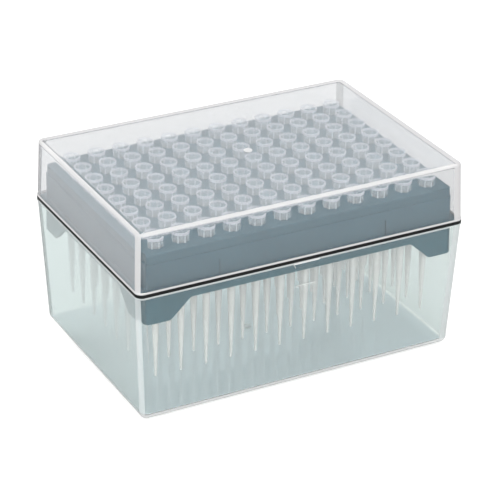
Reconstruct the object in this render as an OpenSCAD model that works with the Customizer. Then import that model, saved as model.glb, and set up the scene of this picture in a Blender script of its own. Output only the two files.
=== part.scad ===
// Rack box of pipette tips: clear base, seal, tip rack, hinged clear lid and 96 tips.
// The origin is at the middle of the underside. X runs along the long side and the
// front, with the catch, faces -Y. Every height is built up from the floor of the base.

/* [Tips] */
// Distance between neighbouring tips, both ways
tip_pitch = 9; // [8.4:0.1:10]
// Tips in one column, front to back
tip_rows = 8; // [4:1:8]
// Length of a tip from its mouth to its point
tip_length = 50.2; // [45:0.2:60]
// Height of the ribbed collar that stands on the deck
collar_h = 3.5; // [3:0.1:6]
// Outer radius of the rim round the mouth
rim_r = 2.95; // [2.8:0.05:3.4]
// Height of the rim
rim_h = 0.9; // [0.5:0.1:1.5]
// Outer radius of the collar's core, between its ribs
core_r = 2.55; // [2.5:0.05:2.7]
// How far the collar's ribs stand out of its core
collar_rib_t = 0.32; // [0.25:0.01:0.4]
// Width of one collar rib
collar_rib_w = 0.55; // [0.4:0.05:0.8]
// Number of ribs round a collar
collar_ribs = 8; // [6:1:12]
// How far the ribs reach below the collar's core
core_lift = 1.2; // [0.4:0.1:1.8]
// Outer radius of the shaft just under the deck
shaft_r = 2.4; // [2.2:0.05:2.45]
// Outer radius where the nozzle seat ends
neck_r = 1.75; // [1.6:0.05:2]
// Distance from the collar's foot down to the neck
neck_drop = 9; // [6:0.5:12]
// Outer radius where the fine point begins
point_top_r = 1.07; // [0.9:0.01:1.3]
// Length of the fine point
point_l = 16.4; // [12:0.2:20]
// Outer radius at the very end
end_r = 0.4; // [0.35:0.01:0.6]
// Wall of the tip
tip_wall = 0.36; // [0.3:0.02:0.5]
// Wall at the very end of the tip
end_wall = 0.22; // [0.15:0.01:0.3]

/* [Rack] */
// From the outer tips' centres to the deck's short edges
deck_edge_x = 5.9; // [5:0.1:10]
// From the outer tips' centres to the deck's long edges
deck_edge_y = 6.1; // [5:0.1:10]
// Height of the deck above the flange
deck_rise = 11.5; // [7:0.5:14]
// Thickness of the deck
deck_t = 1.8; // [1.2:0.1:2.5]
// Thickness of the rack's walls
rack_wall = 1.4; // [1:0.1:2]
// Corner radius of the deck
deck_corner_r = 1.2; // [1:0.1:5]
// Height of the deck's upper tier, above the step in its wall
tier_h = 2.95; // [2:0.05:5]
// How far the wall steps out below the upper tier
tier_step = 0.35; // [0.2:0.05:0.8]
// Slope of the rack's walls, in degrees
rack_draft = 1.2; // [0.5:0.1:2]
// Play between a tip and its hole
hole_play = 0.2; // [0.1:0.05:0.25]
// Depth of the stiffening ribs under the deck
web_h = 3; // [2:0.5:5]
// Thickness of the stiffening ribs under the deck
web_t = 1; // [0.8:0.1:1.4]
// Depth of the skirt below the flange
skirt_h = 4.25; // [3:0.05:8]
// Depth of the corner legs below the skirt
leg_h = 6.55; // [4:0.05:9]
// Width of a leg's foot along the long wall
leg_w = 8.6; // [7:0.1:13]
// Width of a leg's foot along the short wall
leg_d = 9.4; // [7:0.1:13]
// How far a leg widens towards the skirt
leg_flare = 7.2; // [4:0.1:9]
// Rounding where a leg meets the skirt and at its foot
leg_round = 1.6; // [0.5:0.1:2.4]
// Distance of each wall groove from the middle of a long side
groove_x = 30.2; // [20:0.2:40]
// Width of the grooves in the long walls
groove_w = 0.6; // [0.3:0.1:1.2]
// Depth of the grooves in the long walls
groove_d = 0.3; // [0.2:0.05:0.6]
// Height of the grooves above the flange
groove_h = 5.2; // [3:0.2:6]

/* [Seam] */
// Thickness of the rack's flange and of the seal round it
flange_t = 1.2; // [0.8:0.1:2]
// From the rack's short wall out to the seal's outer face
rim_reach_x = 3.5; // [3:0.05:6]
// From the rack's long wall out to the seal's outer face
rim_reach_y = 2.65; // [2.4:0.05:6]
// Width of the seal
seal_w = 0.9; // [0.6:0.1:1.2]
// Rounding of the seal's outer edges
seal_round = 0.25; // [0.1:0.05:0.4]
// Plan radius of the box's corners at the seam
corner_r = 3.6; // [3.4:0.1:9]
// How far the beads at the seam stand out of the walls
bead_t = 0.2; // [0.15:0.05:0.4]
// Height of the beads at the seam
bead_h = 0.7; // [0.4:0.1:1.2]

/* [Base] */
// Thickness of the floor
floor_t = 1.2; // [0.8:0.1:2.5]
// Free height between the floor and the points of the tips
tip_clear = 10.35; // [4:0.05:14]
// Thickness of the base's walls
base_wall = 1.4; // [1.2:0.1:1.7]
// Slope of the base's walls, in degrees
base_draft = 2.58; // [1:0.02:2.8]
// Rounding along the bottom edge
foot_round = 1.3; // [0.8:0.1:3]
// Width of the front catch tab
tab_w = 10; // [6:0.2:16]
// Height of the front catch tab
tab_h = 1.9; // [1.2:0.1:3]
// How far the tab stands out of the wall
tab_t = 0.7; // [0.4:0.1:1.2]
// Width of the grip bar on the front wall
grip_w = 7; // [4:0.5:12]
// Height of the grip bar's face
grip_h = 0.8; // [0.5:0.1:1.5]
// How far the grip bar stands out of the wall
grip_t = 0.3; // [0.2:0.05:0.6]
// Distance from the seam down to the grip bar
grip_drop = 9; // [6:0.2:14]

/* [Lid] */
// Thickness of the lid's walls and top
lid_wall = 1.2; // [0.9:0.1:1.6]
// Free height between the tips' mouths and the lid
lid_clear = 4.25; // [1:0.05:8]
// Slope of the lid's walls, in degrees
lid_draft = 2.13; // [1:0.01:3]
// Rounding along the lid's top edge
crown_round = 1.2; // [0.8:0.1:2.5]
// Fillet inside the lid's top edge
crown_fillet = 1.6; // [0.5:0.1:2.4]
// Radius of the moulding gate's mark
gate_r = 1.5; // [1:0.1:2]
// Height of the moulding gate's mark
gate_h = 0.3; // [0.1:0.05:0.5]

/* [Hinge] */
// Distance of each hinge from the middle of the rear wall
hinge_x = 32; // [22:1:40]
// Distance of the hinge axis behind the seal's outer face
hinge_out = 2.6; // [2.5:0.1:4]
// Distance of the hinge axis below the seam
hinge_drop = 0.7; // [0.5:0.1:1.5]
// Radius of the hinge bar
bar_r = 1.2; // [0.9:0.05:1.3]
// Running clearance between the bar and the clip
bar_play = 0.06; // [0.03:0.01:0.1]
// Wall of the clip round the bar
clip_t = 0.8; // [0.6:0.1:0.9]
// Width of the lid's clip
clip_w = 8.4; // [6:0.2:12]
// Width of the slot that is pushed over the bar, as a share of the bar's diameter
snap_share = 0.75; // [0.6:0.05:0.9]
// Thickness of each ear on the base
ear_t = 2; // [1.4:0.1:3]
// Play between the clip and each ear
ear_play = 0.35; // [0.2:0.05:0.6]
// Distance from the hinge axis down to the ear's foot
ear_foot = 6; // [4:0.5:9]
// Distance from the seam up to the top of the clip's arm
arm_rise = 6.5; // [4:0.5:9]

/* [Hidden] */
$fn = 48;

// One column node for each name above
tip_columns = 12;
tip_x0 = -(tip_columns - 1) / 2 * tip_pitch;
tip_y0 = -(tip_rows - 1) / 2 * tip_pitch;

// Heights, from the underside up
point_z = floor_t + tip_clear;
mouth_z = point_z + tip_length;
deck_z = mouth_z - collar_h;
seam_z = deck_z - deck_rise;
rim_z = seam_z - flange_t;
skirt_z = rim_z - skirt_h;
leg_z = skirt_z - leg_h;
lid_z = mouth_z + lid_clear + lid_wall;

// Half sizes in plan: the deck's edge, the rack's wall at the flange, and the seam
deck_hx = -tip_x0 + deck_edge_x;
deck_hy = -tip_y0 + deck_edge_y;
// The walls' lean, to a hundredth of a millimetre, so that joined pieces meet exactly
wall_lean = round(deck_rise * tan(rack_draft) * 100) / 100;
rack_hx = deck_hx + tier_step + wall_lean;
rack_hy = deck_hy + tier_step + wall_lean;
seam_hx = rack_hx + rim_reach_x;
seam_hy = rack_hy + rim_reach_y;

// Centres of the rounded corners, shared by all that follows the seam
corner_cx = seam_hx - corner_r;
corner_cy = seam_hy - corner_r;
base_r = corner_r - bead_t;
lid_r = corner_r - bead_t;
flange_r = corner_r - seal_w;

hole_r = shaft_r + hole_play;
rib_r = core_r + collar_rib_t;
hinge_y = seam_hy + hinge_out;
hinge_z = rim_z - hinge_drop;
clip_bore_r = bar_r + bar_play;
clip_r = clip_bore_r + clip_t;
ear_gap = clip_w + 2 * ear_play;
// Overlap that joins a feature to the wall that carries it
root = 0.5;

// Points of an arc, from angle a0 to a1
function arc(x, y, r, a0, a1, steps = 5) =
    [for (i = [0:steps])
        let (a = a0 + (a1 - a0) * i / steps)
        [x + r * cos(a), y + r * sin(a)]];

function turn(a, b) = a[0] * b[1] - a[1] * b[0];

// A closed outline with each of its corners rounded to radius r
function rounded(points, r, steps = 4) =
    [for (i = [0:len(points) - 1])
        let (p = points[i],
             u = points[(i + len(points) - 1) % len(points)] - p,
             v = points[(i + 1) % len(points)] - p,
             a = u / norm(u),
             b = v / norm(v),
             half = acos(a * b) / 2,
             middle = p + (a + b) / norm(a + b) * r / sin(half),
             start = p + a * r / tan(half) - middle,
             swing = (180 - 2 * half) * sign(turn(b, a)))
        each [for (k = [0:steps])
            let (t = swing * k / steps)
            middle + [start[0] * cos(t) - start[1] * sin(t),
                      start[0] * sin(t) + start[1] * cos(t)]]];

// Half section of an open tub: x is counted from the corners' centres and y from the
// tub's bottom, and the wall leans out to radius r at the mouth
function tub_section(r, h, draft, round) =
    let (foot_r = r - h * tan(draft),
         turn_x = foot_r + round * tan(draft) - round / cos(draft))
    concat([[0, 0]], arc(turn_x, round, round, -90, -draft), [[r, h], [0, h]]);

// Carries a half section round a rounded rectangle, with corner centres at cx and cy
module swept(cx, cy) {
    for (quarter = [0:3]) {
        across = quarter % 2 == 0;
        near = across ? cx : cy;
        far = across ? cy : cx;
        rotate(90 * quarter) {
            translate([near, far, 0])
                rotate_extrude(angle = 90)
                    children();
            translate([near, far, 0])
                rotate([90, 0, 0])
                    linear_extrude(2 * far)
                        children();
        }
    }
}

// Middle of a swept body, between the corners' centres
module block(cx, cy, h) {
    translate([-cx, -cy, 0])
        cube([2 * cx, 2 * cy, h]);
}

// Solid tub with leaning walls, standing on z = 0
module tub(cx, cy, r, h, draft, round) {
    swept(cx, cy)
        polygon(tub_section(r, h, draft, round));
    block(cx, cy, h);
}

// Rounded rectangular plate whose edge lies r outside the corners' centres
module plate(cx, cy, r, h) {
    swept(cx, cy)
        square([r, h]);
    block(cx, cy, h);
}

// ---- Base ------------------------------------------------------------------------

base_foot_r = base_r - rim_z * tan(base_draft);

// Distance of the base's outer wall from the corners' centres at height z
function base_wall_r(z) = base_foot_r + z * tan(base_draft);

module base_shell() {
    inner_h = rim_z - floor_t + 1;
    difference() {
        union() {
            tub(corner_cx, corner_cy, base_r, rim_z, base_draft, foot_round);
            translate([0, 0, rim_z - bead_h])
                swept(corner_cx, corner_cy)
                    polygon([[base_r - root, 0], [base_r, 0], [corner_r, bead_t],
                             [corner_r, bead_h], [base_r - root, bead_h]]);
        }
        translate([0, 0, floor_t])
            tub(corner_cx - base_wall, corner_cy - base_wall, base_wall_r(rim_z + 1), inner_h,
                base_draft, foot_round / 2);
    }
}

// Tab under the seam at the middle of the front, with slanted ends
module catch_tab() {
    tab_y = corner_cy + base_wall_r(rim_z - tab_h);
    translate([0, -tab_y + root, rim_z - tab_h])
        rotate([90, 0, 0])
            linear_extrude(root + tab_t)
                polygon([[-tab_w / 2 + tab_h / 2, 0], [tab_w / 2 - tab_h / 2, 0],
                         [tab_w / 2, tab_h], [-tab_w / 2, tab_h]]);
}

// Low bar across the middle of the front wall
module grip_bar() {
    bar_z = rim_z - grip_drop;
    translate([-grip_w / 2, -corner_cy - base_wall_r(bar_z) - grip_t, bar_z - grip_h / 2])
        cube([grip_w, grip_t + root, grip_h]);
}

// Two ears with the bar that carries the lid
module hinge_ears() {
    wall_y = corner_cy + base_wall_r(rim_z - ear_foot) - root;
    for (side = [-1, 1])
        translate([side * (ear_gap + ear_t) / 2 - ear_t / 2, 0, 0])
            rotate([90, 0, 90])
                linear_extrude(ear_t)
                    union() {
                        translate([hinge_y, hinge_z])
                            circle(r = clip_r);
                        polygon([[wall_y, hinge_z - ear_foot], [hinge_y + clip_r, hinge_z],
                                 [hinge_y, hinge_z + clip_r * 0.9],
                                 [seam_hy + bead_t, rim_z - bead_t], [wall_y, rim_z - bead_t]]);
                    }
    translate([-ear_gap / 2 - ear_t / 2, hinge_y, hinge_z])
        rotate([0, 90, 0])
            cylinder(r = bar_r, h = ear_gap + ear_t);
}

module base() {
    color("#C9DAD8", 0.45)
        union() {
            base_shell();
            catch_tab();
            grip_bar();
            for (side = [-1, 1])
                translate([side * hinge_x, 0, 0])
                    hinge_ears();
            translate([0, 0, floor_t - root])
                cylinder(r = gate_r, h = root + gate_h);
        }
}

// ---- Seal ------------------------------------------------------------------------

// Rubber ring stretched round the edge of the rack's flange
module rim_seal() {
    top = flange_t - seal_round;
    color("#1E2222")
        translate([0, 0, rim_z])
            difference() {
                union() {
                    swept(corner_cx, corner_cy)
                        polygon(concat([[0, 0]],
                                       arc(corner_r - seal_round, seal_round, seal_round, -90, 0, 3),
                                       arc(corner_r - seal_round, top, seal_round, 0, 90, 3),
                                       [[0, flange_t]]));
                    block(corner_cx, corner_cy, flange_t);
                }
                translate([0, 0, -1])
                    plate(corner_cx, corner_cy, flange_r, flange_t + 2);
            }
}

// ---- Tip rack --------------------------------------------------------------------

// Half section of the rack's outside, from the legs' feet up to the deck
function rack_section() =
    let (lean = tan(rack_draft),
         tier_r = deck_corner_r + tier_h * lean)
    [[0, leg_z],
     [tier_r + tier_step + (deck_z - tier_h - leg_z) * lean, leg_z],
     [tier_r + tier_step, deck_z - tier_h],
     [tier_r, deck_z - tier_h],
     [deck_corner_r, deck_z],
     [0, deck_z]];

// Side view of the space between two legs, from the legs' feet up to the skirt
module leg_gap(half_wall, foot_w) {
    foot = half_wall - foot_w;
    top = foot - leg_flare;
    below = leg_z - 3 * leg_round;
    out = foot + leg_h * 3;
    polygon(rounded([[-out, below], [out, below], [out, leg_z], [foot, leg_z],
                     [top, skirt_z], [-top, skirt_z], [-foot, leg_z], [-out, leg_z]],
                    leg_round));
}

module rack_walls() {
    cx = deck_hx - deck_corner_r;
    cy = deck_hy - deck_corner_r;
    inner_r = deck_corner_r + tier_step;
    inner_h = deck_z - deck_t - leg_z + 1;
    difference() {
        union() {
            swept(cx, cy)
                polygon(rack_section());
            translate([0, 0, leg_z])
                block(cx, cy, deck_z - leg_z);
            translate([0, 0, rim_z])
                plate(corner_cx, corner_cy, flange_r, flange_t);
        }
        translate([0, 0, leg_z - 1])
            mirror([0, 0, 1])
                translate([0, 0, -inner_h])
                    tub(cx - rack_wall, cy - rack_wall, inner_r + inner_h * tan(rack_draft),
                        inner_h, rack_draft, inner_r / 2);
        leg_cuts();
    }
}

// Clears the walls between the corner legs, under the skirt
module leg_cuts() {
    translate([0, seam_hy, 0])
        rotate([90, 0, 0])
            linear_extrude(2 * seam_hy)
                leg_gap(rack_hx, leg_w);
    translate([-seam_hx, 0, 0])
        rotate([90, 0, 90])
            linear_extrude(2 * seam_hx)
                leg_gap(rack_hy, leg_d);
}

// Ribs under the deck, midway between the rows and columns of holes
module deck_webs() {
    web_z = deck_z - deck_t - web_h;
    reach_x = deck_hx - rack_wall / 2;
    reach_y = deck_hy - rack_wall / 2;
    for (i = [0:tip_columns - 2])
        translate([tip_x0 + (i + 0.5) * tip_pitch - web_t / 2, -reach_y, web_z])
            cube([web_t, 2 * reach_y, web_h + root]);
    for (j = [0:tip_rows - 2])
        translate([-reach_x, tip_y0 + (j + 0.5) * tip_pitch - web_t / 2, web_z])
            cube([2 * reach_x, web_t, web_h + root]);
}

module tip_rack() {
    color("#7B909E")
        difference() {
            union() {
                rack_walls();
                deck_webs();
            }
            for (i = [0:tip_columns - 1], j = [0:tip_rows - 1])
                translate([tip_x0 + i * tip_pitch, tip_y0 + j * tip_pitch, deck_z - deck_t - 1])
                    cylinder(r = hole_r, h = deck_t + 2);
            for (x = [-groove_x, groove_x], y = [-1, 1])
                translate([x - groove_w / 2, y * rack_hy - groove_d - wall_lean, seam_z])
                    cube([groove_w, 2 * groove_d + 2 * wall_lean, groove_h]);
        }
}

// ---- Lid -------------------------------------------------------------------------

module lid_shell() {
    lid_h = lid_z - seam_z;
    inner_h = lid_h - lid_wall + 1;
    inner_r = lid_r + tan(lid_draft);
    translate([0, 0, lid_z])
        mirror([0, 0, 1])
            difference() {
                union() {
                    tub(corner_cx, corner_cy, lid_r, lid_h, lid_draft, crown_round);
                    translate([0, 0, lid_h - bead_h])
                        swept(corner_cx, corner_cy)
                            polygon([[lid_r - root, 0], [lid_r, 0], [lid_r + bead_t, bead_t],
                                     [lid_r + bead_t, bead_h], [lid_r - root, bead_h]]);
                }
                translate([0, 0, lid_wall])
                    tub(corner_cx - lid_wall, corner_cy - lid_wall, inner_r, inner_h, lid_draft,
                        crown_fillet);
            }
}

// Clip on the lid's rear wall: an arm that ends in an open ring round the bar
module hinge_clip() {
    wall_y = corner_cy + lid_r - arm_rise * tan(lid_draft) - root;
    rotate([90, 0, 90])
        linear_extrude(clip_w)
            difference() {
                union() {
                    translate([hinge_y, hinge_z])
                        circle(r = clip_r);
                    polygon([[hinge_y - clip_r, hinge_z], [hinge_y + clip_r, hinge_z],
                             [wall_y + root, seam_z + arm_rise], [wall_y, seam_z + arm_rise],
                             [wall_y, seam_z + bead_h], [hinge_y - clip_r, seam_z + bead_h / 2]]);
                }
                translate([hinge_y, hinge_z])
                    circle(r = clip_bore_r);
                translate([hinge_y - bar_r * snap_share, hinge_z - 2 * clip_r])
                    square([2 * bar_r * snap_share, 2 * clip_r]);
            }
}

module lid() {
    color("#EEF0F0", 0.35)
        union() {
            lid_shell();
            for (side = [-1, 1])
                translate([side * hinge_x - clip_w / 2, 0, 0])
                    hinge_clip();
            translate([0, 0, lid_z - lid_wall / 2])
                cylinder(r = gate_r, h = lid_wall / 2 + gate_h);
        }
}

// ---- Tips ------------------------------------------------------------------------

// Half section of one tip, standing on its point at y = 0
module tip_section() {
    foot = tip_length - collar_h;
    neck = foot - neck_drop;
    seat = neck + neck_drop / 3;
    lip = tip_wall * 0.8;
    polygon([
        [end_r, 0], [point_top_r, point_l], [neck_r, neck], [shaft_r, seat],
        [shaft_r, foot + core_lift], [core_r, foot + core_lift],
        [core_r, tip_length - rim_h - collar_rib_t],
        [rim_r, tip_length - rim_h], [rim_r, tip_length],
        [rim_r - lip, tip_length], [core_r - tip_wall, tip_length - 2 * lip],
        [shaft_r - tip_wall, seat], [neck_r - tip_wall, neck],
        [point_top_r - tip_wall, point_l], [end_r - end_wall, 0]
    ]);
}

module tip() {
    foot = tip_length - collar_h;
    rotate_extrude()
        tip_section();
    difference() {
        translate([0, 0, foot])
            linear_extrude(collar_h - rim_h)
                for (k = [0:collar_ribs - 1])
                    rotate(k * 360 / collar_ribs)
                        translate([0, -collar_rib_w / 2])
                            square([rib_r, collar_rib_w]);
        translate([0, 0, foot - 1])
            cylinder(r = shaft_r - tip_wall / 2, h = collar_h + 2);
    }
}

// Column number n, counted from the left
module tips_column(n) {
    color("#E6ECF0", 0.6)
        for (j = [0:tip_rows - 1])
            translate([tip_x0 + (n - 1) * tip_pitch, tip_y0 + j * tip_pitch, point_z])
                tip();
}

base();
rim_seal();
tip_rack();
lid();
tips_column(1);  // tips_column_01
tips_column(2);  // tips_column_02
tips_column(3);  // tips_column_03
tips_column(4);  // tips_column_04
tips_column(5);  // tips_column_05
tips_column(6);  // tips_column_06
tips_column(7);  // tips_column_07
tips_column(8);  // tips_column_08
tips_column(9);  // tips_column_09
tips_column(10);  // tips_column_10
tips_column(11);  // tips_column_11
tips_column(12);  // tips_column_12
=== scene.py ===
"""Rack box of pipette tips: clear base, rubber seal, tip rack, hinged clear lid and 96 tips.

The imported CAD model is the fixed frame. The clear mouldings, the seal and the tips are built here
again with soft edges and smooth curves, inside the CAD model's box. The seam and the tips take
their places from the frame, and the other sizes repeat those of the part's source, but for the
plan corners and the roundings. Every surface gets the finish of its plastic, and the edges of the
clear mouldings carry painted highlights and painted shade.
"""

import logging
import math
from dataclasses import dataclass
from enum import Enum, IntEnum
from typing import Callable, Iterable, Mapping, Optional, Sequence

import bmesh
import bpy
from bmesh.types import BMesh, BMVert
from mathutils import Matrix, Vector


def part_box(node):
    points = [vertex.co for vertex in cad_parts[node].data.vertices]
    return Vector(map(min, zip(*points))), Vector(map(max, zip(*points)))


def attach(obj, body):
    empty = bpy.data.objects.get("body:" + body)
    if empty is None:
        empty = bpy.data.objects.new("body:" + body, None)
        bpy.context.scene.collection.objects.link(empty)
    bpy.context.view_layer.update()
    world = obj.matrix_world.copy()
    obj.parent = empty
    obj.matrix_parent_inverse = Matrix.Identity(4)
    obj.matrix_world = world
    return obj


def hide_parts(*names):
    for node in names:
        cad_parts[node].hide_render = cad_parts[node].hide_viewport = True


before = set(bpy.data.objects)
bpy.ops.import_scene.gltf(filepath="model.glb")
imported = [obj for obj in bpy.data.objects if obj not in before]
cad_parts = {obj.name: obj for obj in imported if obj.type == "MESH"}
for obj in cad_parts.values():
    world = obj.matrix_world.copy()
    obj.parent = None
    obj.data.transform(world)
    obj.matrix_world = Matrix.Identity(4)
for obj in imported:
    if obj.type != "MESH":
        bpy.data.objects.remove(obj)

LOG = logging.getLogger("tip_box")
MM = 0.001
WELD = 1e-7
# Where nearly all values of a noise lie
NOISE_RANGE = (0.3, 0.7)
# Half the angle at a corner above which it isn't rounded, and the share of a side that a rounding takes
NEARLY_STRAIGHT = math.radians(80)
ROUND_SHARE = 0.45
# Faces round a bar or a gate's mark
CIRCLE_STEPS = 32
# A face looks outward where its normal leans out by more than this
FACES_OUT = 0.1
# A face is square to an axis where its normal's part along the axis passes this
SQUARE_ON = 0.9
# A face belongs to a mark or a floor within this share of the feature's size
NEAR_TO = 1.1

Point = tuple[float, float]
Row = tuple[float, float, float]


class Body(Enum):
    """The CAD bodies that pieces ride on."""

    BOX = "box"
    LID = "lid"


class Slot(Enum):
    """The record's material slots."""

    BASE = "base_plastic"
    LID = "lid_plastic"
    RACK = "rack_plastic"
    SEAL = "seal_rubber"
    TIP = "tip_plastic"


class Edge(Enum):
    """The kinds of face on a clear moulding; all but NONE have a finish of their own, with painted light
    and shade.
    """

    NONE = "none"
    NEAR = "near"
    FAR = "far"
    FLOOR = "floor"
    GLINT = "glint"
    REAR_CORNER = "rear_corner"


class TipFace(IntEnum):
    """The kinds of face on a tip, by the place of their finish among its materials."""

    SHAFT = 0
    COLLAR = 1
    LIP = 2
    RIB = 3


# ---- Shader helpers ------------------------------------------------------------------


def linear(code: str) -> tuple[float, float, float, float]:
    """Turns an sRGB hex colour to the linear colour that a shader takes.

    Args:
        code: The colour, such as "#7B909E".

    Returns:
        Red, green, blue and a full alpha.
    """
    channels = [int(code[i : i + 2], 16) / 255 for i in (1, 3, 5)]
    light = [c / 12.92 if c <= 0.04045 else ((c + 0.055) / 1.055) ** 2.4 for c in channels]
    return light[0], light[1], light[2], 1.0


def add_node(
    tree: bpy.types.NodeTree, kind: str, inputs: Optional[dict] = None, **settings
) -> bpy.types.Node:
    """Adds a node with its settings and links.

    Args:
        tree: The node tree.
        kind: The node's type, without "ShaderNode".
        inputs: A value, or the output socket to link, for each input by name or number.
        settings: Attributes of the node.

    Returns:
        The new node.
    """
    node = tree.nodes.new("ShaderNode" + kind)
    for name, value in settings.items():
        setattr(node, name, value)
    for name, value in (inputs or {}).items():
        if isinstance(value, bpy.types.NodeSocket):
            tree.links.new(value, node.inputs[name])
        else:
            node.inputs[name].default_value = value
    return node


def new_material(name: str) -> tuple[bpy.types.Material, bpy.types.NodeTree]:
    """Makes a material with an empty node tree."""
    material = bpy.data.materials.new(name)
    material.use_nodes = True
    material.node_tree.nodes.clear()
    return material, material.node_tree


def object_noise(
    tree: bpy.types.NodeTree, grain_mm: float, detail: float = 2.0
) -> bpy.types.NodeSocket:
    """Adds noise on the piece's Object coordinates.

    Args:
        tree: The node tree.
        grain_mm: Size of one grain.
        detail: Octaves of the noise.

    Returns:
        The noise's value socket, about 0.5 in the mean.
    """
    place = add_node(tree, "TexCoord")
    noise = add_node(
        tree,
        "TexNoise",
        {
            "Vector": place.outputs["Object"],
            "Scale": 1 / (grain_mm * MM),
            "Detail": detail,
            "Roughness": 0.5,
        },
    )
    return noise.outputs["Fac"]


def spread(
    tree: bpy.types.NodeTree, value: bpy.types.NodeSocket, low: float, high: float
) -> bpy.types.NodeSocket:
    """Maps a noise value from its usual range on to low to high."""
    noise_low, noise_high = NOISE_RANGE
    ramp = add_node(tree, "MapRange", {"Value": value, 1: noise_low, 2: noise_high, 3: low, 4: high})
    return ramp.outputs["Result"]


# ---- Finishes ------------------------------------------------------------------------


@dataclass(frozen=True)
class ClearMoulding:
    """Clear plastic, injection-moulded in a polished tool: glassy, with a faint haze and flow marks.

    The haze lifts what is dark behind a wall. A glancing look passes through more plastic, which
    deepens the tint and adds a veil.
    """

    name: str
    # Colour of what is seen through a wall, and of the lamps' light that a wall lets in
    tint: str
    shade: str
    haze: float
    # Tint at a glancing look, and the haze that such a look adds
    deep: str = "#C4CCCB"
    veil: float = 0.0
    # How far a face turns away where the veil begins and where it is full
    veil_start: float = 0.3
    veil_full: float = 0.8
    ior: float = 1.49
    roughness_low: float = 0.02
    roughness_high: float = 0.07
    # Flow marks run over a hand's breadth of the real wall; a coarser ripple would bend what is behind
    ripple_mm: float = 14.0
    ripple_depth_mm: float = 0.02

    def material(self) -> bpy.types.Material:
        """Builds the material."""
        material, tree = new_material(self.name)
        cloud = object_noise(tree, self.ripple_mm)
        bump = add_node(
            tree, "Bump", {"Height": cloud, "Strength": 0.3, "Distance": self.ripple_depth_mm * MM}
        )
        clear = 1.0 - self.haze
        plastic = add_node(
            tree,
            "BsdfPrincipled",
            {
                "Base Color": linear(self.tint),
                "Roughness": spread(tree, cloud, self.roughness_low, self.roughness_high),
                "IOR": self.ior,
                "Transmission Weight": clear,
                "Normal": bump.outputs["Normal"],
            },
        )
        if self.veil:
            look = add_node(tree, "LayerWeight", {"Blend": 0.5})
            turned = {"Value": look.outputs["Facing"], 1: self.veil_start, 2: self.veil_full}
            glance = add_node(tree, "MapRange", turned).outputs[0]
            tints = {0: glance, 6: linear(self.tint), 7: linear(self.deep)}
            colour = add_node(tree, "Mix", tints, data_type="RGBA")
            passed = add_node(tree, "MapRange", {"Value": glance, 3: clear, 4: clear - self.veil})
            tree.links.new(colour.outputs[2], plastic.inputs["Base Color"])
            tree.links.new(passed.outputs[0], plastic.inputs["Transmission Weight"])
        # Lamps shine through the wall on to what is inside
        path = add_node(tree, "LightPath")
        through = add_node(tree, "BsdfTransparent", {"Color": linear(self.shade)})
        mixed = add_node(
            tree,
            "MixShader",
            {0: path.outputs["Is Shadow Ray"], 1: plastic.outputs[0], 2: through.outputs[0]},
        )
        add_node(tree, "OutputMaterial", {"Surface": mixed.outputs[0]})
        return material


@dataclass(frozen=True)
class TipPolypropylene:
    """Natural polypropylene, moulded thin: milky, clearer face on and whiter along its edges."""

    name: str
    colour: str = "#EEF0F8"
    face_alpha: float = 0.14
    edge_alpha: float = 0.5
    roughness: float = 0.22
    shadow_share: float = 0.2
    falloff: float = 0.2

    def material(self) -> bpy.types.Material:
        """Builds the material."""
        material, tree = new_material(self.name)
        edge = add_node(tree, "LayerWeight", {"Blend": self.falloff})
        alpha = add_node(
            tree,
            "MapRange",
            {"Value": edge.outputs["Facing"], 1: 0.0, 2: 1.0, 3: self.face_alpha, 4: self.edge_alpha},
        )
        # Thin walls pass light on, so a tip shades what is behind it less than it hides it
        path = add_node(tree, "LightPath")
        lit = add_node(
            tree,
            "MapRange",
            {"Value": path.outputs["Is Shadow Ray"], 1: 0.0, 2: 1.0, 3: 1.0, 4: self.shadow_share},
        )
        solid = add_node(
            tree, "Math", {0: alpha.outputs["Result"], 1: lit.outputs["Result"]}, operation="MULTIPLY"
        )
        cloud = object_noise(tree, 3.0)
        plastic = add_node(
            tree,
            "BsdfPrincipled",
            {
                "Base Color": linear(self.colour),
                "Roughness": spread(tree, cloud, self.roughness - 0.05, self.roughness + 0.08),
                "Alpha": solid.outputs["Value"],
                "Specular IOR Level": 0.5,
            },
        )
        add_node(tree, "OutputMaterial", {"Surface": plastic.outputs[0]})
        return material


@dataclass(frozen=True)
class RackPolypropylene:
    """Grey-blue polypropylene, moulded in a fine spark-eroded tool: even, satin, with softened edges."""

    name: str = "rack_polypropylene_moulded"
    colour: str = "#375D6B"
    pale: str = "#3C6371"
    roughness: float = 0.42
    edge_mm: float = 0.3
    # The eroded grain is near 0.05 mm; drawn at 0.5 mm so that it shows at all
    grain_mm: float = 0.5
    grain_depth_mm: float = 0.01

    def material(self) -> bpy.types.Material:
        """Builds the material."""
        material, tree = new_material(self.name)
        edge = add_node(tree, "Bevel", {"Radius": self.edge_mm * MM}, samples=4)
        grain = object_noise(tree, self.grain_mm)
        bump = add_node(
            tree,
            "Bump",
            {
                "Height": grain,
                "Strength": 0.25,
                "Distance": self.grain_depth_mm * MM,
                "Normal": edge.outputs["Normal"],
            },
        )
        cloud = object_noise(tree, 18.0)
        colour = add_node(
            tree,
            "Mix",
            {0: spread(tree, cloud, 0.0, 1.0), 6: linear(self.colour), 7: linear(self.pale)},
            data_type="RGBA",
        )
        plastic = add_node(
            tree,
            "BsdfPrincipled",
            {
                "Base Color": colour.outputs[2],
                "Roughness": spread(tree, grain, self.roughness - 0.06, self.roughness + 0.08),
                "IOR": 1.49,
                "Normal": bump.outputs["Normal"],
            },
        )
        add_node(tree, "OutputMaterial", {"Surface": plastic.outputs[0]})
        return material


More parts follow.
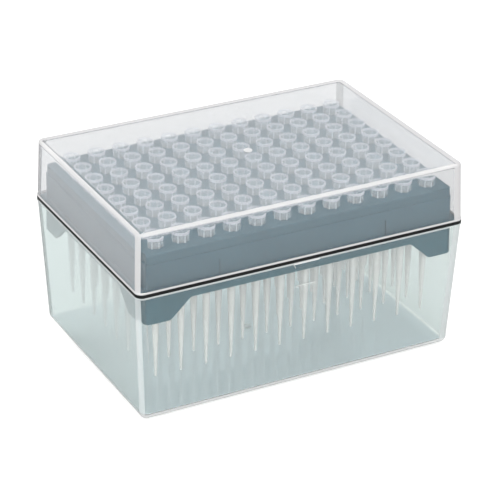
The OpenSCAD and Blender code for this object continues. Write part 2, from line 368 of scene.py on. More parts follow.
@dataclass(frozen=True)
class SealRubber:
    """Black rubber, compression-moulded: dull, with a little bloom."""

    name: str = "seal_rubber_moulded"
    colour: str = "#141616"
    bloom: str = "#222525"

    def material(self) -> bpy.types.Material:
        """Builds the material."""
        material, tree = new_material(self.name)
        cloud = object_noise(tree, 2.5, 3.0)
        colour = add_node(
            tree,
            "Mix",
            {0: spread(tree, cloud, 0.0, 0.6), 6: linear(self.colour), 7: linear(self.bloom)},
            data_type="RGBA",
        )
        rubber = add_node(
            tree,
            "BsdfPrincipled",
            {
                "Base Color": colour.outputs[2],
                "Roughness": spread(tree, cloud, 0.5, 0.65),
                "Specular IOR Level": 0.12,
            },
        )
        add_node(tree, "OutputMaterial", {"Surface": rubber.outputs[0]})
        return material


# ---- This box's finishes -------------------------------------------------------------

TIP_FINISHES = {
    # Milky, so that the tapers read as pale spikes under the rack
    TipFace.SHAFT: TipPolypropylene(
        "tip_polypropylene_shaft", colour="#F6F3F3", face_alpha=0.38, edge_alpha=0.6
    ),
    # Nearly clear, so that the mouths look open
    TipFace.COLLAR: TipPolypropylene(
        "tip_polypropylene_collar", colour="#EEF6FA", face_alpha=0.16, edge_alpha=0.38
    ),
    # A pale ring round each mouth
    TipFace.LIP: TipPolypropylene(
        "tip_polypropylene_lip", colour="#F4F4FC", face_alpha=0.48, edge_alpha=0.68
    ),
    # Pale stripes down the collar
    TipFace.RIB: TipPolypropylene(
        "tip_polypropylene_rib", colour="#F4FAFE", face_alpha=0.42, edge_alpha=0.6
    ),
}

# Faintly green; the walls that are seen at a slant turn milky
BASE_SHADE = "#F4F4F1"
BASE_FINISH = ClearMoulding(
    "base_polystyrene_moulded", "#ECF1F0", BASE_SHADE, haze=0.004, deep="#A8BAB9", veil=0.4
)
BASE_EDGES = {
    # Painted highlight on the rim and the corners at the front and the left,
    #     # painted shade, greyer, at the rear and the right
    Edge.NEAR: ClearMoulding("base_polystyrene_near_edge_painted_highlight", "#DEE4E4", BASE_SHADE, haze=0.5),
    Edge.FAR: ClearMoulding("base_polystyrene_far_edge_painted_shade", "#C8CECE", BASE_SHADE, haze=0.8),
    # Clear from every side, with no milky veil, but tinted darker and bluer as painted shade under the blue
    # rack
    Edge.FLOOR: ClearMoulding("base_polystyrene_floor_painted_shade", "#E0EAEF", BASE_SHADE, haze=0.004),
    # Painted glints: bright lines along the foot and round the tab and the grip bar
    Edge.GLINT: ClearMoulding("base_polystyrene_painted_glint", "#FCFDFD", BASE_SHADE, haze=0.6),
}

# Neutral, with more haze than the base
LID_SHADE = "#FCFCFC"
LID_FINISH = ClearMoulding(
    "lid_polystyrene_moulded", "#E7E7E7", LID_SHADE, haze=0.03, deep="#D6DADF", veil=0.15
)
LID_EDGES = {
    # Painted highlight: a pale border round the top, the corners and the rim at the front and the left;
    #     # painted shade, greyer, at the rear and the right
    Edge.NEAR: ClearMoulding("lid_polystyrene_near_edge_painted_highlight", "#DAD9D9", LID_SHADE, haze=0.7),
    Edge.FAR: ClearMoulding("lid_polystyrene_far_edge_painted_shade", "#CAC9CA", LID_SHADE, haze=0.8),
    # Painted light: the corner farthest off is kept light, as if white showed through it
    Edge.REAR_CORNER: ClearMoulding("lid_polystyrene_rear_corner_painted_light", "#F2F2F0", LID_SHADE, haze=0.8),
}


# ---- Mesh helpers --------------------------------------------------------------------


def arc(x: float, y: float, radius: float, start: float, end: float, steps: int) -> list[Point]:
    """Gives the points of an arc, with its angles in degrees."""
    angles = [math.radians(start + (end - start) * i / steps) for i in range(steps + 1)]
    return [(x + radius * math.cos(a), y + radius * math.sin(a)) for a in angles]


def softened(points: Sequence[Point], radius: float, steps: int = 3, closed: bool = False) -> list[Point]:
    """Rounds the corners of a line of points.

    Args:
        points: The line's corners.
        radius: Radius of each rounding, made smaller where the line is too short for it.
        steps: Faces in one rounding.
        closed: True if the line's last corner joins its first.

    Returns:
        The rounded line.
    """
    made: list[Point] = []
    count = len(points)
    for i, corner in enumerate(points):
        if not closed and i in (0, count - 1):
            made.append(corner)
            continue
        here = Vector(corner)
        back = Vector(points[i - 1]) - here
        ahead = Vector(points[(i + 1) % count]) - here
        half = back.angle(ahead) / 2
        if half > NEARLY_STRAIGHT:
            made.append(corner)
            continue
        room = ROUND_SHARE * min(back.length, ahead.length)
        reach = min(radius / math.tan(half), room)
        start, end = here + back.normalized() * reach, here + ahead.normalized() * reach
        for k in range(steps + 1):
            t = k / steps
            bend = start.lerp(here, t).lerp(here.lerp(end, t), t)
            made.append((bend.x, bend.y))
    return made


def cap_holes(bm: BMesh) -> None:
    """Closes each open loop with one flat face."""
    bmesh.ops.holes_fill(bm, edges=[e for e in bm.edges if e.is_boundary], sides=0)


def prism(bm: BMesh, outline: Sequence[Vector], depth: Vector, edge: float = 0.0) -> None:
    """Adds a flat outline drawn out to a prism, with its edges rounded.

    Args:
        bm: The mesh that takes the prism.
        outline: The corners, in order.
        depth: The way and length of the drawing.
        edge: Rounding of the edges.
    """
    face = bm.faces.new([bm.verts.new(p) for p in outline])
    drawn = bmesh.ops.extrude_face_region(bm, geom=[face])["geom"]
    moved = [v for v in drawn if isinstance(v, BMVert)]
    bmesh.ops.translate(bm, verts=moved, vec=depth)
    faces = [f for f in bm.faces if set(f.verts) & set(moved)] + [face]
    bmesh.ops.recalc_face_normals(bm, faces=faces)
    if edge:
        ends = [face, *(f for f in drawn if isinstance(f, bmesh.types.BMFace))]
        rims = {e for f in ends for e in f.edges}
        bmesh.ops.bevel(
            bm, geom=list(rims), offset=edge, segments=2, profile=0.5, affect="EDGES", material=-1
        )


def to_object(name: str, bm: BMesh, sharp_deg: float = 32.0) -> bpy.types.Object:
    """Makes an object of a mesh, smooth but for its sharp edges.

    Args:
        name: The piece's name.
        bm: The mesh, which is freed.
        sharp_deg: Edges that bend more than this stay sharp.

    Returns:
        The object, at the origin.
    """
    mesh = bpy.data.meshes.new(name)
    bm.to_mesh(mesh)
    bm.free()
    mesh.shade_smooth()
    mesh.set_sharp_from_angle(angle=math.radians(sharp_deg))
    piece = bpy.data.objects.new(name, mesh)
    bpy.context.scene.collection.objects.link(piece)
    return piece


def fused(name: str, shell: bpy.types.Object, extras: bpy.types.Object) -> bpy.types.Object:
    """Joins extras to a shell as one moulding.

    Args:
        name: The moulding's name.
        shell: The main body, which is used up.
        extras: What stands on it, which is used up.

    Returns:
        The moulding.
    """
    join = shell.modifiers.new("join", "BOOLEAN")
    join.operation = "UNION"
    join.solver = "EXACT"
    join.use_self = True
    join.object = extras
    graph = bpy.context.evaluated_depsgraph_get()
    mesh = bpy.data.meshes.new_from_object(shell.evaluated_get(graph))
    for spent in (shell, extras):
        bpy.data.objects.remove(spent)
    bm = bmesh.new()
    bm.from_mesh(mesh)
    bmesh.ops.remove_doubles(bm, verts=bm.verts, dist=WELD)
    return to_object(name, bm)


def dress(
    piece: bpy.types.Object,
    material: bpy.types.Material,
    body: Body,
    nodes: Iterable[str],
) -> bpy.types.Object:
    """Gives a piece its finish and its body, and hides the CAD nodes that it stands for."""
    weight = piece.modifiers.new("even_normals", "WEIGHTED_NORMAL")
    weight.keep_sharp = True
    # Large faces lead, so that flat walls stay flat to the light beside their rounded edges
    weight.weight = 80
    piece.data.materials.append(material)
    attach(piece, body.value)
    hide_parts(*nodes)
    LOG.info("%s: %d faces on %s", piece.name, len(piece.data.polygons), body.value)
    return piece


def line_edges(
    piece: bpy.types.Object,
    finishes: Mapping[Edge, ClearMoulding],
    edge_kind: Callable[[bpy.types.MeshPolygon], Edge],
) -> None:
    """Gives the edges of a piece their own finishes.

    Args:
        piece: The moulding, which has its main finish.
        finishes: The finish for each kind of edge that the moulding has.
        edge_kind: Tells the kind of a face.
    """
    places = {Edge.NONE: 0}
    for place, (kind, finish) in enumerate(finishes.items(), start=1):
        piece.data.materials.append(finish.material())
        places[kind] = place
    for face in piece.data.polygons:
        face.material_index = places[edge_kind(face)]


# ---- Sub-assemblies ------------------------------------------------------------------


@dataclass
class Seam:
    """The rounded rectangle in plan that the base, the seal and the lid share, in metres."""

    corner_r: float = 2.3 * MM
    bead_t: float = 0.2 * MM
    bead_h: float = 0.7 * MM
    # Width of the band at a corner that carries the painted edge highlight and shade: along the long walls
    # it is wider at the right
    strip_left: float = 1.2 * MM
    strip_right: float = 3.6 * MM
    strip_y: float = 2.5 * MM
    # An extra point this far from the front's right end; without it the seal shades lighter there
    front_point: float = 9.0 * MM
    # No corner is sharper than this
    least_r: float = 0.05 * MM
    corner_steps: int = 8
    # An edge is near where x and y, as shares of the half sizes, add up to less than this
    near_limit: float = -0.1

    def __post_init__(self) -> None:
        """Takes the seam's place from the seal."""
        low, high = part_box("rim_seal")
        self.half_x, self.half_y = high.x, high.y
        self.rim_z, self.seam_z = low.z, high.z

    def ring(self, bm: BMesh, inset: float, z: float, radius: float) -> list[BMVert]:
        """Adds the points of one rounded rectangle.

        Args:
            bm: The mesh that takes the ring.
            inset: Distance inside the seal's outer face.
            z: Height.
            radius: Plan radius of the corners.

        Returns:
            The ring's points, in order.
        """
        hx, hy = self.half_x - inset, self.half_y - inset
        verts = []
        for side_x, side_y, start in ((1, 1, 0), (-1, 1, 90), (-1, -1, 180), (1, -1, 270)):
            centre_x, centre_y = side_x * (hx - radius), side_y * (hy - radius)
            turn = arc(centre_x, centre_y, radius, start, start + 90, self.corner_steps)
            turn.insert(0 if side_x == side_y else len(turn), (side_x * hx, side_y * (hy - self.strip_y)))
            if side_x > side_y:
                turn[:0] = [(hx - self.front_point, -hy), (hx - self.strip_right, -hy)]
            verts += [bm.verts.new((x, y, z)) for x, y in turn]
        return verts

    def loft(self, bm: BMesh, rows: Sequence[Row], closed: bool = False) -> None:
        """Joins rings to a skin.

        Args:
            bm: The mesh that takes the skin.
            rows: Inset, height and corner radius of each ring.
            closed: True if the last ring joins the first.
        """
        loops = [self.ring(bm, *row) for row in rows]
        for near, far in zip(loops, loops[1:] + (loops[:1] if closed else [])):
            for a, b, c, d in zip(near, near[1:] + near[:1], far[1:] + far[:1], far):
                bm.faces.new((a, b, c, d))

    def rows(self, points: Sequence[Point], wall: Callable[[float], float], radius: float) -> list[Row]:
        """Gives each point of a section the corner radius that keeps it parallel to the wall.

        Args:
            points: Insets and heights.
            wall: The wall's inset at a height.
            radius: Plan radius of the wall's corners.

        Returns:
            The rows for loft.
        """
        return [(inset, z, max(radius + wall(z) - inset, self.least_r)) for inset, z in points]

    def at_corner(self, point: Vector, inset: float) -> bool:
        """Says if a point lies in the band at a corner that carries the painted edge light, where the wall
        has this inset.
        """
        strip_x = self.strip_left if point.x < 0 and point.y < 0 else self.strip_right
        reach_x, reach_y = self.half_x - inset - strip_x, self.half_y - inset - self.strip_y
        return abs(point.x) > reach_x and abs(point.y) > reach_y

    def side(self, point: Vector) -> Edge:
        """Tells an edge at the front or the left, which takes painted highlight, from one at the rear or
        the right, which takes painted shade.
        """
        across = point.x / self.half_x + point.y / self.half_y
        return Edge.NEAR if across < self.near_limit else Edge.FAR


@dataclass
class Hinge:
    """Where the lid turns, and the clip's and the ears' sizes, in metres."""

    at_x: float = 32 * MM
    y: float = 43.44 * MM
    z: float = 44.85 * MM
    bar_r: float = 1.2 * MM
    bore_r: float = 1.26 * MM
    ring_r: float = 2.06 * MM
    snap_half: float = 0.9 * MM
    clip_w: float = 8.4 * MM
    ear_t: float = 2.0 * MM
    ear_gap: float = 9.1 * MM
    ear_foot: float = 6.0 * MM
    arm_rise: float = 6.5 * MM


@dataclass
class ClearBase:
    """The clear base: a tub with a rim bead, a catch tab, a grip bar and two pairs of hinge ears."""

    seam: Seam
    hinge: Hinge
    finish: ClearMoulding
    edge_finishes: Mapping[Edge, ClearMoulding]
    floor_t: float = 1.2 * MM
    wall: float = 1.4 * MM
    draft: float = math.radians(2.58)
    foot_round: float = 2.0 * MM
    inner_round: float = 0.8 * MM
    inner_corner_r: float = 2.0 * MM
    edge: float = 0.15 * MM
    tab_w: float = 10.0 * MM
    tab_h: float = 1.9 * MM
    tab_t: float = 0.7 * MM
    tab_edge: float = 0.4 * MM
    grip_w: float = 7.0 * MM
    grip_h: float = 0.8 * MM
    grip_t: float = 0.3 * MM
    grip_drop: float = 9.0 * MM
    gate_r: float = 1.5 * MM
    gate_h: float = 0.3 * MM
    # Overlap of a feature with the wall that carries it
    root: float = 0.5 * MM
    # The foot's painted glint keeps to the front and the left, beyond this share of the half sizes
    foot_share: float = 0.8

    def inset(self, z: float) -> float:
        """Gives the outer wall's inset at height z."""
        return self.seam.bead_t + (self.seam.rim_z - z) * math.tan(self.draft)

    def wall_y(self, z: float) -> float:
        """Gives the outer wall's distance behind the middle at height z."""
        return self.seam.half_y - self.inset(z)

    def rows(self) -> list[Row]:
        """Gives the wall's rings, from the underside round the rim to the inner floor."""
        seam, lean = self.seam, math.degrees(self.draft)
        turn = self.inset(self.foot_round) + self.foot_round / math.cos(self.draft)
        outside = arc(turn, self.foot_round, self.foot_round, 270, 180 + lean, steps=8)
        centre_z = self.floor_t + self.inner_round
        turn_in = self.inset(centre_z) + self.wall + self.inner_round / math.cos(self.draft)
        inside = arc(turn_in, centre_z, self.inner_round, 180 + lean, 270, steps=6)
        bead_z = seam.rim_z - seam.bead_h
        rim = [
            (self.inset(bead_z), bead_z),
            (0, bead_z + seam.bead_t),
            (0, seam.rim_z),
            (self.inset(seam.rim_z) + self.wall, seam.rim_z),
        ]
        soft = softened([outside[-1], *rim, inside[0]], self.edge)
        return seam.rows(outside[:-1] + soft[:-4], self.inset, seam.corner_r) + seam.rows(
            soft[-4:] + inside[1:], lambda z: self.inset(z) + self.wall, self.inner_corner_r
        )

    def shell(self) -> bpy.types.Object:
        """Builds the tub."""
        bm = bmesh.new()
        self.seam.loft(bm, self.rows())
        cap_holes(bm)
        bmesh.ops.recalc_face_normals(bm, faces=bm.faces)
        return to_object("base_shell", bm)

    def edge_kind(self, face: bpy.types.MeshPolygon) -> Edge:
        """Tells the kind of a face: the gate's mark, floor, tab and grip, near foot, rim or corner."""
        at, seam = face.center, self.seam
        outside = face.normal.xy.dot(at.xy) > FACES_OUT * at.xy.length
        # The gate's mark takes the painted highlight of a near edge
        if at.xy.length < NEAR_TO * self.gate_r and at.z > self.floor_t + self.edge / 2:
            return Edge.NEAR
        if at.z < NEAR_TO * self.floor_t and abs(face.normal.z) > SQUARE_ON:
            return Edge.FLOOR
        if at.y > seam.half_y or not outside:
            return Edge.NONE
        stands_out = at.z > self.foot_round and at.y < -self.wall_y(at.z) - self.edge / 2
        if stands_out and abs(at.x) < self.tab_w:
            return Edge.GLINT if face.normal.y > -SQUARE_ON else Edge.NONE
        by_front = at.y < -self.foot_share * seam.half_y
        by_left = at.x < -self.foot_share * seam.half_x
        if at.z < self.foot_round and (by_front or by_left):
            return Edge.GLINT
        rim = at.z > seam.rim_z - seam.bead_h
        return seam.side(at) if rim or seam.at_corner(at, self.inset(at.z)) else Edge.NONE

    def ear(self, bm: BMesh, x: float) -> None:
        """Adds one hinge ear, with its left side at x."""
        hinge, seam = self.hinge, self.seam
        wall_y = self.wall_y(seam.rim_z - hinge.ear_foot) - self.root
        ledge = seam.rim_z - seam.bead_t
        outline = [
            (wall_y, hinge.z - hinge.ear_foot),
            *arc(hinge.y, hinge.z, hinge.ring_r, 0, 165, steps=14),
            (seam.half_y + seam.bead_t, ledge),
            (wall_y, ledge),
        ]
        prism(bm, [Vector((x, y, z)) for y, z in outline], Vector((hinge.ear_t, 0, 0)), self.edge)

    def extras(self) -> bpy.types.Object:
        """Builds what stands on the tub."""
        bm = bmesh.new()
        seam, hinge = self.seam, self.hinge
        tab_y = -self.wall_y(seam.rim_z - self.tab_h) + self.root
        low, high = seam.rim_z - self.tab_h, seam.rim_z - self.edge / 3
        half, slant = self.tab_w / 2, self.tab_h / 2
        tab = [(-half + slant, low), (half - slant, low), (half, high), (-half, high)]
        prism(
            bm,
            [Vector((x, tab_y, z)) for x, z in tab],
            Vector((0, -self.root - self.tab_t, 0)),
            self.tab_edge,
        )
        grip_z = seam.rim_z - self.grip_drop
        grip_y = -self.wall_y(grip_z)
        corners = [(-1, -1), (1, -1), (1, 1), (-1, 1)]
        prism(
            bm,
            [
                Vector((sx * self.grip_w / 2, grip_y + self.root, grip_z + sz * self.grip_h / 2))
                for sx, sz in corners
            ],
            Vector((0, -self.root - self.grip_t, 0)),
            self.edge,
        )
        ring = arc(0, 0, self.gate_r, 0, 360, CIRCLE_STEPS)[:-1]
        prism(
            bm,
            [Vector((x, y, self.floor_t - self.root)) for x, y in ring],
            Vector((0, 0, self.root + self.gate_h)),
            self.edge / 2,
        )
        for side in (-1, 1):
            middle = side * hinge.at_x
            for way in (-1, 1):
                self.ear(bm, middle + way * (hinge.ear_gap + hinge.ear_t) / 2 - hinge.ear_t / 2)
            bar = arc(hinge.y, hinge.z, hinge.bar_r, 0, 360, CIRCLE_STEPS)[:-1]
            start = middle - (hinge.ear_gap + hinge.ear_t) / 2
            prism(
                bm, [Vector((start, y, z)) for y, z in bar], Vector((hinge.ear_gap + hinge.ear_t, 0, 0))
            )
        return to_object("base_extras", bm)

    def build(self) -> None:
        """Builds and dresses the base."""
        piece = fused("base_moulding", self.shell(), self.extras())
        dress(piece, self.finish.material(), Body.BOX, ["base"])
        line_edges(piece, self.edge_finishes, self.edge_kind)


@dataclass
class ClearLid:
    """The clear lid: a shallow tub upside down, with a bead at its rim and two snap clips."""

    seam: Seam
    hinge: Hinge
    finish: ClearMoulding
    edge_finishes: Mapping[Edge, ClearMoulding]
    top_z: float = 67.2 * MM
    wall: float = 1.2 * MM
    draft: float = math.radians(2.13)
    crown_round: float = 0.9 * MM
    # Width of the band round the top that carries the painted edge highlight and shade: it is wider at the
    # rear and the right
    strip: float = 1.0 * MM
    far_strip: float = 2.5 * MM
    inner_round: float = 1.2 * MM
    inner_corner_r: float = 2.4 * MM
    edge: float = 0.15 * MM
    gate_r: float = 1.5 * MM
    gate_h: float = 0.3 * MM
    root: float = 0.5 * MM

    def inset(self, z: float) -> float:
        """Gives the outer wall's inset at height z."""
        return self.seam.bead_t + (z - self.seam.seam_z) * math.tan(self.draft)

    def rows(self) -> list[Row]:
        """Gives the wall's rings, from the top down the outside, round the rim and up to the ceiling."""
        seam, lean = self.seam, math.degrees(self.draft)
        centre_z = self.top_z - self.crown_round
        turn = self.inset(centre_z) + self.crown_round / math.cos(self.draft)
        outside = [(self.inset(self.top_z) + strip, self.top_z) for strip in (self.far_strip, self.strip)]
        outside += arc(turn, centre_z, self.crown_round, 90, 180 - lean, steps=8)
        inner_z = self.top_z - self.wall - self.inner_round
        turn_in = self.inset(inner_z) + self.wall + self.inner_round / math.cos(self.draft)
        inside = arc(turn_in, inner_z, self.inner_round, 180 - lean, 90, steps=8)
        bead_z = seam.seam_z + seam.bead_h
        rim = [
            (self.inset(bead_z), bead_z),
            (0, bead_z - seam.bead_t),
            (0, seam.seam_z),
            (self.inset(seam.seam_z) + self.wall, seam.seam_z),
        ]
        soft = softened([outside[-1], *rim, inside[0]], self.edge)
        return seam.rows(outside[:-1] + soft[:-4], self.inset, seam.corner_r) + seam.rows(
            soft[-4:] + inside[1:], lambda z: self.inset(z) + self.wall, self.inner_corner_r
        )

    def shell(self) -> bpy.types.Object:
        """Builds the cover."""
        bm = bmesh.new()
        self.seam.loft(bm, self.rows())
        cap_holes(bm)
        bmesh.ops.recalc_face_normals(bm, faces=bm.faces)
        return to_object("lid_shell", bm)

    def edge_kind(self, face: bpy.types.MeshPolygon) -> Edge:
        """Tells the kind of a face: the gate's mark, the top's edge, rear corner, corner or rim."""
        at, seam = face.center, self.seam
        outside = face.normal.xy.dot(at.xy) > FACES_OUT * at.xy.length or face.normal.z > FACES_OUT
        # The gate's mark takes the painted highlight of a near edge
        if at.xy.length < NEAR_TO * self.gate_r:
            return Edge.NEAR if outside else Edge.NONE
        if at.y > seam.half_y or not outside:
            return Edge.NONE
        inset = self.inset(at.z)
        if at.z > self.top_z - self.crown_round:
            if max(at.x - seam.half_x, at.y - seam.half_y) > -inset - self.far_strip:
                return Edge.FAR
            near = max(-at.x - seam.half_x, -at.y - seam.half_y) > -inset - self.strip
            return Edge.NEAR if near else Edge.NONE
        corner = seam.at_corner(at, inset)
        if corner and min(at.x, at.y) > 0:
            return Edge.REAR_CORNER
        rim = at.z < seam.seam_z + seam.bead_h
        return seam.side(at) if corner or rim else Edge.NONE

    def clip(self, bm: BMesh, x: float) -> None:
        """Adds one snap clip, with its left side at x: an arm that ends in an open ring."""
        hinge, seam = self.hinge, self.seam
        wall_y = seam.half_y - self.inset(seam.seam_z + hinge.arm_rise) - self.root
        outer = math.degrees(math.acos(hinge.snap_half / hinge.ring_r))
        inner = math.degrees(math.acos(hinge.snap_half / hinge.bore_r))
        outline = [
            *arc(hinge.y, hinge.z, hinge.ring_r, -outer, 0, steps=6),
            (wall_y + self.root, seam.seam_z + hinge.arm_rise),
            (wall_y, seam.seam_z + hinge.arm_rise),
            (wall_y, seam.seam_z + seam.bead_h),
            (hinge.y - hinge.ring_r, seam.seam_z + seam.bead_h / 2),
            *arc(hinge.y, hinge.z, hinge.ring_r, 180, 180 + outer, steps=6),
            *arc(hinge.y, hinge.z, hinge.bore_r, 180 + inner, -inner, steps=20),
        ]
        prism(bm, [Vector((x, y, z)) for y, z in outline], Vector((hinge.clip_w, 0, 0)), self.edge / 2)

    def extras(self) -> bpy.types.Object:
        """Builds the clips and the gate's mark."""
        bm = bmesh.new()
        for side in (-1, 1):
            self.clip(bm, side * self.hinge.at_x - self.hinge.clip_w / 2)
        ring = arc(0, 0, self.gate_r, 0, 360, CIRCLE_STEPS)[:-1]
        prism(
            bm,
            [Vector((x, y, self.top_z - self.wall / 2)) for x, y in ring],
            Vector((0, 0, self.wall / 2 + self.gate_h)),
            self.edge / 2,
        )
        return to_object("lid_extras", bm)

    def build(self) -> None:
        """Builds and dresses the lid."""
        piece = fused("lid_moulding", self.shell(), self.extras())
        dress(piece, self.finish.material(), Body.LID, ["lid"])
        line_edges(piece, self.edge_finishes, self.edge_kind)


@dataclass
class Seal:
    """The rubber ring round the rack's flange."""

    seam: Seam
    finish: SealRubber
    width: float = 0.9 * MM
    edge: float = 0.25 * MM

    def build(self) -> None:
        """Builds and dresses the seal."""
        seam, bm = self.seam, bmesh.new()
        corners = [(self.width, seam.rim_z), (0, seam.rim_z), (0, seam.seam_z), (self.width, seam.seam_z)]
        section = softened(corners, self.edge, 4, closed=True)
        seam.loft(bm, seam.rows(section, lambda z: seam.bead_t, seam.corner_r), closed=True)
        bmesh.ops.recalc_face_normals(bm, faces=bm.faces)
        piece = to_object("seal_ring", bm)
        dress(piece, self.finish.material(), Body.BOX, ["rim_seal"])


@dataclass
class Tips:
    """Twelve columns of eight tips: ribbed collar, nozzle seat, taper and fine point."""

    finishes: Mapping[TipFace, TipPolypropylene]
    columns: int = 12
    rows: int = 8
    pitch: float = 9.0 * MM
    length: float = 50.2 * MM
    collar_h: float = 3.5 * MM
    rim_r: float = 2.95 * MM
    rim_h: float = 0.9 * MM
    core_r: float = 2.55 * MM
    core_lift: float = 1.2 * MM
    rib_t: float = 0.32 * MM
    ribs: int = 8
    # Faces round the collar for each rib and its gap, and the corners of these that are pushed out
    steps_a_rib: int = 5
    corners_a_rib: int = 2
    shaft_r: float = 2.4 * MM
    neck_r: float = 1.75 * MM
    neck_drop: float = 9.0 * MM
    point_top_r: float = 1.07 * MM
    point_l: float = 16.4 * MM
    end_r: float = 0.4 * MM
    wall: float = 0.36 * MM
    end_wall: float = 0.22 * MM
    # Parts the collar's surface from the shaft's, so that only the collar's is pushed out
    hair: float = 0.002 * MM

    def __post_init__(self) -> None:
        """Works out the heights above the tip's point."""
        self.foot = self.length - self.collar_h
        self.core_foot = self.foot + self.core_lift
        self.neck = self.foot - self.neck_drop
        self.seat = self.neck + self.neck_drop / 3
        self.under_rim = self.length - self.rim_h
        self.lip = self.wall * 0.8
        # Distances that tell the lip's and the ribs' faces from the collar's
        self.lip_reach = 1.2 * self.lip
        self.rib_reach = 0.9 * self.rib_t

    def section(self) -> list[Point]:
        """Gives one tip's closed section, standing on its point."""
        edge = self.lip / 3
        return [
            (self.end_r, 0),
            (self.point_top_r, self.point_l),
            (self.neck_r, self.neck),
            (self.shaft_r, self.seat),
            (self.shaft_r, self.foot),
            (self.shaft_r + self.hair, self.foot),
            (self.shaft_r + self.hair, self.core_foot),
            (self.core_r, self.core_foot + self.hair),
            (self.core_r, self.under_rim - self.rib_t),
            (self.rim_r, self.under_rim),
            (self.rim_r, self.length - edge),
            (self.rim_r - edge, self.length),
            (self.rim_r - self.lip, self.length),
            (self.core_r - self.wall, self.length - 2 * self.lip),
            (self.shaft_r - self.wall, self.seat),
            (self.neck_r - self.wall, self.neck),
            (self.point_top_r - self.wall, self.point_l),
            (self.end_r - self.end_wall, 0),
        ]

    def face_kind(self, face: bmesh.types.BMFace) -> TipFace:
        """Tells the kind of a tip's face; all else that reaches above the seat counts as collar."""
        middle = face.calc_center_median()
        out = middle.xy.length
        top = max(v.co.z for v in face.verts)
        if top > self.length - self.lip and out > self.rim_r - self.lip_reach:
            return TipFace.LIP
        if self.foot < middle.z < self.under_rim and out > self.core_r + self.rib_reach:
            return TipFace.RIB
        return TipFace.COLLAR if top > self.seat + self.hair else TipFace.SHAFT

    def tip(self) -> bpy.types.Mesh:
        """Builds one tip at the origin, with its collar's surface pushed out to ribs."""
        bm = bmesh.new()
        verts = [bm.verts.new((r, 0, z)) for r, z in self.section()]
        edges = [bm.edges.new(pair) for pair in zip(verts, verts[1:] + verts[:1])]
        steps = self.ribs * self.steps_a_rib
        bmesh.ops.spin(
            bm,
            geom=[*verts, *edges],
            cent=(0, 0, 0),
            axis=(0, 0, 1),
            angle=2 * math.pi,
            steps=steps,
            use_merge=True,
        )
        low, high = self.foot - self.hair, self.under_rim - self.rib_t / 2
        for v in bm.verts:
            r = math.hypot(v.co.x, v.co.y)
            turn = round(math.degrees(math.atan2(v.co.y, v.co.x)) / (360 / steps)) % self.steps_a_rib
            on_collar = low < v.co.z < high and r > self.shaft_r + self.hair / 2
            if on_collar and turn < self.corners_a_rib:
                grown = (self.core_r + self.rib_t) / r
                bmesh.ops.scale(bm, verts=[v], vec=(grown, grown, 1))
        bmesh.ops.remove_doubles(bm, verts=bm.verts, dist=2 * self.hair)
        bmesh.ops.recalc_face_normals(bm, faces=bm.faces)
        for f in bm.faces:
            f.material_index = self.face_kind(f)
        mesh = bpy.data.meshes.new("tip")
        bm.to_mesh(mesh)
        bm.free()
        return mesh

    def build(self) -> None:
        """Builds and dresses the columns."""
        tip = self.tip()
        finishes = [self.finishes[kind].material() for kind in TipFace]
        for n in range(self.columns):
            node = f"tips_column_{n + 1:02d}"
            low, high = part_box(node)
            bm = bmesh.new()
            for j in range(self.rows):
                held = set(bm.verts)
                bm.from_mesh(tip)
                bmesh.ops.translate(
                    bm,
                    verts=[v for v in bm.verts if v not in held],
                    vec=((low.x + high.x) / 2, low.y + self.rim_r + j * self.pitch, low.z),
                )
            piece = to_object(f"tips_{n + 1:02d}", bm, 40.0)
            dress(piece, finishes[0], Body.BOX, [node])
            for finish in finishes[1:]:
                piece.data.materials.append(finish)


@dataclass
class Rack:
    """The tip rack, whose CAD solid has the right shape and takes only its finish."""

    finish: RackPolypropylene

    def build(self) -> None:
        """Dresses the rack."""
        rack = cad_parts["tip_rack"]
        rack.material_slots[0].material = self.finish.material()
        LOG.info("tip_rack: CAD solid with %s", self.finish.name)


# ---- Studio --------------------------------------------------------------------------


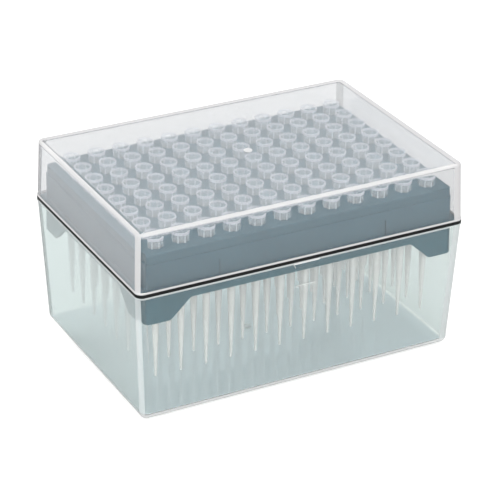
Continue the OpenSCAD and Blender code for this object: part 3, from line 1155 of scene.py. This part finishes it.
@dataclass
class Studio:
    """Floor, world, lamps and camera."""

    camera_at: tuple[float, float, float] = (-0.30637, -0.57625, 0.3679)
    camera_to: tuple[float, float, float] = (0.001333, 0.000208, 0.030)
    roll: float = math.radians(0.717)
    lens: float = 157.035
    floor_half: float = 4.0
    floor_drop: float = 0.2 * MM
    floor_white: float = 0.72
    floor_lift: float = 0.34

    def floor(self) -> None:
        """Lays a plain white floor, which stays white to the eye and keeps the box's shadow."""
        bm = bmesh.new()
        bmesh.ops.create_grid(bm, x_segments=1, y_segments=1, size=self.floor_half)
        bmesh.ops.translate(bm, verts=bm.verts, vec=(0, 0, -self.floor_drop))
        plane = to_object("floor", bm)
        material, tree = new_material("floor_white_card")
        path = add_node(tree, "LightPath")
        seen = add_node(
            tree,
            "Math",
            {0: path.outputs["Is Camera Ray"], 1: path.outputs["Is Transmission Ray"]},
            operation="MAXIMUM",
        )
        lift = add_node(tree, "Math", {0: seen.outputs[0], 1: self.floor_lift}, operation="MULTIPLY")
        card = add_node(
            tree,
            "BsdfPrincipled",
            {
                "Base Color": (self.floor_white, self.floor_white, self.floor_white, 1),
                "Roughness": 0.9,
                "Specular IOR Level": 0.0,
                "Emission Color": (1, 1, 1, 1),
                "Emission Strength": lift.outputs[0],
            },
        )
        add_node(tree, "OutputMaterial", {"Surface": card.outputs[0]})
        plane.data.materials.append(material)

    def world(self) -> None:
        """Lights the scene from all round, evenly."""
        world = bpy.data.worlds.new("studio")
        world.use_nodes = True
        tree = world.node_tree
        tree.nodes.clear()
        sky = add_node(tree, "Background", {"Color": (1, 1, 1, 1), "Strength": 1.0})
        add_node(tree, "OutputWorld", {"Surface": sky.outputs[0]})
        bpy.context.scene.world = world

    def lamp(self, name: str, at: Sequence[float], size: float, power: float) -> None:
        """Hangs a square soft lamp that faces the box.

        Args:
            name: The lamp's name.
            at: Its place, in metres.
            size: The length of its side, in metres.
            power: In watts.
        """
        data = bpy.data.lights.new(name, "AREA")
        data.shape = "SQUARE"
        data.size = size
        data.energy = power
        lamp = bpy.data.objects.new(name, data)
        lamp.location = at
        lamp.rotation_euler = (-Vector(at)).to_track_quat("-Z", "Y").to_euler()
        # No glare of a lamp hides what the clear plastic covers
        lamp.visible_glossy = False
        bpy.context.scene.collection.objects.link(lamp)

    def camera(self) -> None:
        """Sets the camera."""
        data = bpy.data.cameras.new("camera")
        data.lens = self.lens
        data.sensor_width = 36
        data.clip_start, data.clip_end = 0.01, 20
        camera = bpy.data.objects.new("camera", data)
        way = Vector(self.camera_to) - Vector(self.camera_at)
        turn = way.to_track_quat("-Z", "Y").to_matrix().to_4x4()
        camera.matrix_world = Matrix.Translation(self.camera_at) @ turn @ Matrix.Rotation(self.roll, 4, "Z")
        bpy.context.scene.collection.objects.link(camera)
        bpy.context.scene.camera = camera

    def build(self) -> None:
        """Sets up the studio."""
        self.camera()
        self.floor()
        self.world()
        self.lamp("key", (-0.3, -1.45, 0.85), 0.9, 11)
        self.lamp("side", (-1.3, 0.0, 0.9), 1.2, 4)
        self.lamp("back", (0.1, 0.65, 1.35), 0.4, 6)
        scene = bpy.context.scene
        scene.view_settings.view_transform = "Standard"
        # Enough to see through the walls and the tips that stand one behind another
        scene.cycles.max_bounces = 24
        scene.cycles.transmission_bounces = 24
        scene.cycles.transparent_max_bounces = 96


def main() -> None:
    """Builds the box in order and reports each piece."""
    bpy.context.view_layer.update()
    Studio().build()
    seam, hinge = Seam(), Hinge()
    Rack(RackPolypropylene()).build()
    Tips(TIP_FINISHES).build()
    Seal(seam, SealRubber()).build()
    ClearBase(seam, hinge, BASE_FINISH, BASE_EDGES).build()
    ClearLid(seam, hinge, LID_FINISH, LID_EDGES).build()


if __name__ == "__main__":
    logging.basicConfig(level=logging.INFO, format="%(message)s")
    main()
